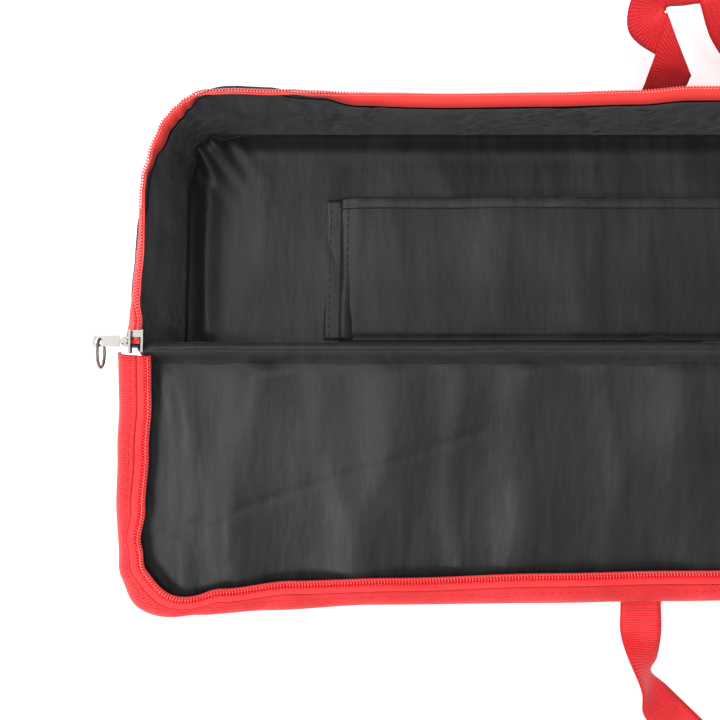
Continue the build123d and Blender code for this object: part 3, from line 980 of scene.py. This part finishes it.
# %% Lid panel pad and lining
def follow_edge(x, v, inset):
    """Shift the outer part of a lid grid with the wandering edge."""
    path, outward, reach = rim_path(lining_high.x, lid_length, corner_radius, mm(6), 600)
    shift = (wander(reach, lid_shift_places, lid_edge_shifts) - inset)[:, None] * outward
    moved = np.stack([x, v], axis=-1).reshape(-1, 2)
    gaps = np.linalg.norm(moved[:, None, :] - path[None, ::3, :], axis=2)
    nearest = gaps.argmin(axis=1) * 3
    near = np.clip(1 - gaps.min(axis=1) / mm(30), 0, 1)
    moved = (moved + shift[nearest] * smooth(near)[:, None]).reshape(x.shape + (2,))
    return moved[..., 0], moved[..., 1]


pad_u, pad_v = panel_grid(lining_high.x, mm(4), lid_length, pad_step)
pad_u, pad_v = rounded(pad_u, pad_v, lining_high.x, lid_length, corner_radius)
pad_u, pad_v = follow_edge(pad_u, pad_v, mm(1.2))
lid_pad = cloth_piece("front_panel_pad", lid_place(pad_u, pad_v, -mm(1.0))[::-1], outer_cloth)
thicken(lid_pad, mm(4.9), pad_rounding)
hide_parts("front_panel", "front_panel_foam")
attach(lid_pad, "lid")

fine_u, fine_v, fine_height = finer(lid_x, lid_v, lid_height)
crease_gap = (fine_v - mm(118) + 0.33 * (fine_u + 0.42)) / mm(2.5)
crease = mm(0.4) * np.exp(-(crease_gap**2)) * (np.abs(fine_u + 0.31) < 0.11)
lid_fade = edge_fade(fine_u, fine_v, lid_half, lid_near - mm(3), lid_far, mm(12))
lid_relief = np.clip(lid_fade * (1.15 * fine_height + mm(0.6)) - crease, -mm(0.6), None)
fine_u, fine_v = follow_edge(fine_u, fine_v, mm(1.6))
lid_points = lid_place(fine_u, fine_v, lid_relief + mm(0.1))[::-1]
lid_cloth = cloth_piece("front_lining_cloth", lid_points, satin_lining)
thicken(lid_cloth, satin_thick)
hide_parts("front_lining")
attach(lid_cloth, "lid")
print("lid lining rises", round(float(lid_relief.max()) * 1000, 2), "mm at most")

# %% [markdown]
# ## The fabric hinge
# Between the hinge wall and the lid there is only cloth, folded over a seam. In the real bag it has to
# bend when the lid turns; here it is one sheet, fixed in place, that runs from inside the tray over the
# turning line and down to the lid.

# %% Hinge fold
turn_y, turn_z = fold["pos_m"][1], fold["pos_m"][2]
# Its section, from inside the tray to the lid: (towards the tray, up) from the turning line.
fold_outline = [(2.4, -3.4), (1.7, -1.2), (0.6, -0.1), (-0.5, 0.3), (-1.4, -0.2)]
fold_outline += [(-2.0, -2.0), (-2.4, -7.0), (-3.8, -13.5), (-6.2, -17.8), (-11.0, -22.6)]
fold_outline = mm(np.array(fold_outline)) + (turn_y, turn_z)
fold_marks = np.linspace(0, 1, len(fold_outline))
fold_share = np.linspace(0, 1, 40)
fold_y = np.interp(fold_share, fold_marks, fold_outline[:, 0])[:, None]
fold_z = np.interp(fold_share, fold_marks, fold_outline[:, 1])[:, None]
fold_x = np.linspace(-1, 1, 380)[None, :] * (hinge_high.x - mm(6)) + 0 * fold_y
fold_wave = folds(fold_x, fold_share[:, None], 61, 60, mm(8), mm(0.8), 0.02) * fold_share[:, None]
fold_points = body_place(fold_x, fold_y - 0.6 * fold_wave, fold_z + 0.6 * fold_wave)[::-1]
hinge_cloth = cloth_piece("hinge_fold_cloth", fold_points, satin_lining)
thicken(hinge_cloth, mm(0.6))
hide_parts("hinge_strip", "hinge_strip_lining")
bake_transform(hinge_cloth)
print("hinge fold rows", len(fold_share))

# %% [markdown]
# ## The lid's wall of ribbed webbing
# The wall is a red webbing band that stands on the edge of the panel and leans in, like a soft roll.
# Its cross ribs are 1.6 mm apart. A rib is a rounded ridge, so the surface is pushed out by the
# absolute value of a sine, and every rib gets about four stations along the band.

# %% Webbing band
rib_pitch = mm(1.6)
band_count = 2900
band_lean = mm(13)
rim_far = lid_length - band_lean
band_near = -mm(1.5)
band_foot, band_out, band_reach = rim_path(
    lining_high.x, lid_length, corner_radius, band_near, band_count
)
band_top, _, _ = rim_path(tape_high.x, rim_far, rim_radius, band_near, band_count)
foot_shift = wander(band_reach, lid_shift_places, lid_edge_shifts)
zip_shift = wander(band_reach, lid_shift_places, lid_zip_shifts)
rim_height = mm(9.63)
foot_depth = mm(4.6)
rib_wave = np.abs(np.sin(pi * band_reach / rib_pitch)) ** 0.8
# Uneven tension leaves the roll a little fuller in some places.
full = 1 + 0.12 * np.sin(band_reach * 37) + 0.07 * np.sin(band_reach * 91 + 1)


def band_rows(shares, lift):
    """Places on the band: share 0 at its foot, 1 at its top seam, lift outward from its surface."""
    foot = band_foot + band_out * foot_shift[:, None]
    top = band_top + band_out * zip_shift[:, None]
    rows = []
    for share in shares:
        turn = share * pi / 2
        over = 1 - cos(turn)
        plan = foot * (1 - over) + top * over
        plan = plan + band_out * (lift * cos(turn))[:, None]
        swell = 1 + 0.1 * (full - 1) * sin(2 * turn)
        height = -foot_depth + (rim_height + foot_depth) * sin(turn) * swell
        rows.append(lid_place(plan[:, 0], plan[:, 1], height + lift * sin(turn)))
    return np.stack(rows)


outer_shares = np.linspace(0, 1, 15)
edge_curl = np.clip(np.minimum(outer_shares, 1 - outer_shares) / 0.08, 0, 1)
lifts = [mm(0.42) * rib_wave * e + mm(0.2) * full for e in edge_curl]
outside = np.concatenate([band_rows([s], lift) for s, lift in zip(outer_shares, lifts)])
inside = band_rows(np.linspace(1, 0, 7), -mm(1.1) + 0 * band_reach)
band = cloth_piece("webbing_band", np.concatenate([outside, inside])[::-1], webbing, closed=True)
# Painted shade in the grooves and towards the band's two edges, painted light on the crowns; the hidden
# inside gets a middle share.
ribs = [rib_wave * e for e in edge_curl] + [0.4 + 0 * rib_wave] * len(inside)
give_painted_light(band, np.stack(ribs)[::-1])
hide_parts("lid_band")
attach(band, "lid")
print("band ribs", int(band_reach[-1] / rib_pitch))

# %% The lid's zip tape, coil and stitches
lid_strip_step = 3
seam_plan = (band_top + band_out * zip_shift[:, None])[::lid_strip_step]
lid_seam = lid_place(seam_plan[:, 0], seam_plan[:, 1], rim_height + mm(0.2))
lid_out = lid_place(*band_out[::lid_strip_step].T, 0.0) - lid_place(0.0, 0.0, 0.0)
lid_up = np.array([0, -sin(slope), cos(slope)])
lid_stand = np.full(len(lid_seam), pi)
lid_strip = strip_frame(lid_seam, lid_out, lid_stand, lid_up)
lid_tape = make_tape("lid_tape", lid_strip, lid_tape_painted_shade)
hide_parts("lid_zip_tape")
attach(lid_tape, "lid")
lid_coil = make_coil("lid_coil", lid_strip, *coil_sewn)
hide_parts("lid_zip_coil")
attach(lid_coil, "lid")
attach(coil_stitches("lid_coil_stitches", lid_strip, mm(6.7), mm(2.75)), "lid")
band_stitch_line = band_rows([0.8], mm(0.75) * full)[0]
band_stitches = stitch_row(
    "band_stitches", band_stitch_line, mm(5.5), mm(3.2), mm(0.3), red_thread, -mm(0.2)
)
give_painted_light(band_stitches, np.zeros(len(band_stitches.data.vertices)))
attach(band_stitches, "lid")

# %% [markdown]
# ## Webbing handles
# A handle is one length of the same webbing. It is described by a few stations: where its middle
# is, and which way its width points. Between them the strap runs smoothly, so a twist is made
# by turning the width. The ribs follow the strap's own length.

# %% Ribbon
def smooth_through(values, count):
    """A smooth curve through a few stations, by a spline that passes through each of them."""
    values = np.asarray(values, float)
    padded = np.vstack([2 * values[0] - values[1], values, 2 * values[-1] - values[-2]])
    at = np.linspace(0, len(values) - 1 - 1e-9, count)
    slot = at.astype(int)
    t = (at - slot)[:, None]
    a, b, c, d = (padded[slot + k] for k in range(4))
    curve = (2 * a - 5 * b + 4 * c - d) * t**2 + (3 * b - a - 3 * c + d) * t**3
    return 0.5 * (2 * b + (c - a) * t + curve)


def ribbon(name, stations, material, width=mm(25), thick=mm(1.5), pitch=mm(1.5)):
    """A ribbed strap through stations of (middle, direction of its width), in millimetres.

    The direction is longer than 1 on a slanting crease, as a crease is longer than the width.
    """
    rough = smooth_through([[*middle, *wide] for middle, wide in stations], 4000)
    reach = reach_along(rough[:, :3])
    place = np.linspace(0, reach[-1], int(mm(reach[-1]) / pitch * 4))
    at = sample(place, reach, rough)
    middle = mm(at[:, :3])
    across = at[:, 3:]
    normal = unit(np.cross(across, unit(np.gradient(middle, axis=0))))
    wave = np.abs(np.sin(pi * mm(place) / pitch)) ** 0.8
    rows = []
    ribs = []
    for face in (1, -1):
        for share in face * np.linspace(-1, 1, 9):
            border = min(1.0, (1 - abs(share)) * 8)
            height = face * thick / 2 * (0.45 + 0.55 * border) * (0.72 + 0.28 * wave)
            rows.append(middle + across * (share * width / 2) + normal * height[:, None])
            # Painted shade in the grooves and towards the strap's edges, painted light on the crowns.
            ribs.append(wave * (0.5 + 0.5 * border))
    piece = cloth_piece(name, np.stack(rows), material, closed=True)
    give_painted_light(piece, np.stack(ribs))
    print(name, round(float(reach[-1])), "mm of webbing")
    return piece


def mirrored(stations):
    """The other half of a handle: the same stations, reflected and in reverse order."""
    return [((-m[0], m[1], m[2]), (w[0], -w[1], -w[2])) for m, w in reversed(stations)]


# %% Front handle
strap_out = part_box("front_handle")[1].y * 1000
left_half = [
    ((-101, strap_out + 6, 2.2), (1, 0, 0.0)),
    ((-101.5, strap_out - 10, 2.0), (1, -0.02, 0.05)),
    ((-102.5, strap_out - 24, 7.2), (0.86, -0.12, -0.5)),
    ((-101.5, strap_out - 38, 11.4), (0.45, 0.35, -0.82)),
    ((-95.5, strap_out - 50, 7.4), (0.66, 0.66, -0.35)),
    ((-81, strap_out - 65, 2.8), (0.73, 0.68, 0.0)),
    ((-62, strap_out - 83, 1.7), (0.7, 0.71, 0.0)),
    ((-42, strap_out - 97, 1.7), (0.35, 0.94, 0.0)),
    ((-20, strap_out - 102, 1.7), (0.03, 1, 0.0)),
]
bottom = [((0, strap_out - 102, 1.7), (0, 1, 0))]
front_stations = left_half + bottom + mirrored(left_half)
front_handle = ribbon("front_webbing_handle", front_stations, webbing)
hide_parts("front_handle")
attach(front_handle, "front_handle")

# %% Back handle
back_swing = next(j for j in frame["joints"] if j["name"] == "back_handle_swing")
handle_y = back_swing["pos_m"][1] * 1000
handle_z = back_swing["pos_m"][2] * 1000
lean = radians(62)


def tipped(x, r, w):
    """A direction in the leaning plane, turned into the body's directions."""
    return x, r * cos(lean) - w * sin(lean), r * sin(lean) + w * cos(lean)


def leaning(x, r, w, across):
    """A station in the handle's leaning plane: r up the plane, w out of it towards the viewer."""
    middle = tipped(x, r, w)
    return (x, handle_y + middle[1], handle_z + middle[2]), tipped(*across)


left_rise = [
    leaning(-96, 1, 0, (1, 0, 0)),
    leaning(-91, 13, 0, (1, -0.05, 0)),
    leaning(-84, 27, 1, (1.06, -0.07, 0)),
    leaning(-82.5, 41, 2, (1.08, -0.1, 0)),
    leaning(-82, 52, 2, (1.02, -0.88, 0)),
    leaning(-81.5, 62, 0.2, (1, -1.76, 0)),
    leaning(-89.2, 66.3, -1.8, (0.42, -1.42, 0)),
    leaning(-100.6, 73.4, -3, (-0.45, -0.9, 0)),
    leaning(-104.4, 80, -4, (-0.85, -0.42, 0)),
    leaning(-104.5, 90, -5, (-0.86, 0.36, 0)),
    leaning(-98.5, 98, -5, (-0.52, 0.9, 0)),
    leaning(-85.5, 100.5, -4, (-0.04, 1, 0)),
    leaning(-73, 102, -3, (0.24, 0.95, 0)),
    leaning(-64, 95, -1, (0.9, 0.42, 0)),
    leaning(-52, 72, 0, (0.88, 0.4, 0)),
    leaning(-38, 58, 0, (0.6, 0.8, 0)),
    leaning(-20, 53, 0, (0.2, 0.98, 0)),
]
middle_rise = [leaning(0, 52, 0, (0, 1, 0))]
back_stations = left_rise + middle_rise + mirrored(left_rise)
back_handle = ribbon("back_webbing_handle", back_stations, webbing)
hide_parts("back_handle")
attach(back_handle, "back_handle")

# %% Sewn ends of the handles
def sewn_ends(name, half_span, foot, top, node, body):
    """The short ends of a handle where they go into the seam, one strap piece for each side."""
    made = []
    for side in (-1, 1):
        stations = [((side * half_span, *foot), (1, 0, 0)), ((side * half_span, *top), (1, 0, 0))]
        made.append(ribbon(name + ("_left" if side < 0 else "_right"), stations, webbing))
    for piece in made:
        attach(piece, body)
    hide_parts(node)
    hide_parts(node)


ends_low, ends_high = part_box("back_handle_ends")
ends_y = (ends_low.y + ends_high.y) * 500
foot_and_top = [(ends_y, ends_low.z * 1000), (ends_y, ends_high.z * 1000)]
sewn_ends("back_handle_end", 96, *foot_and_top, "back_handle_ends", "body")
# The front ones lie flat under the foot of the lid's webbing wall.
end_top = lid_place(0, lid_length - mm(7.5), -mm(4.2))[1:] * 1000
end_foot = lid_place(0, lid_length + mm(3.5), -mm(4.0))[1:] * 1000
sewn_ends("front_handle_end", 101, tuple(end_top), tuple(end_foot), "front_handle_ends", "lid")

# %% [markdown]
# ## Sliders, pull tabs and rings
# The metal parts keep their CAD shapes, which are right. They only need softened edges, because
# a plated casting has none that are sharp, and the nickel finish.

# %% Metal parts
for end in ("left", "right"):
    for part in ("slider_", "pull_tab_", "pull_ring_"):
        metal = frame["nodes"][part + end]
        metal.data.materials.clear()
        metal.data.materials.append(nickel)
        if part != "pull_ring_":
            soften(metal, mm(0.22), 40)
        print("plated", metal.name)

# %% [markdown]
# ## Floor and the end
# The floor is plain and pale.

# %% Floor
floor_inputs = {"Roughness": 0.9, "Base Color": linear("#F7F7F7")}
floor_material, floor_shader = finish("pale_studio_floor", floor_inputs)
floor_shader.inputs["Emission Color"].default_value = linear("#FFFFFF")
floor_shader.inputs["Emission Strength"].default_value = 0.3
floor_points = body_place(np.array([[-6, 6], [-6, 6]]), np.array([[-6, -6], [6, 6]]), -mm(0.2))
floor = cloth_piece("floor", floor_points, floor_material)
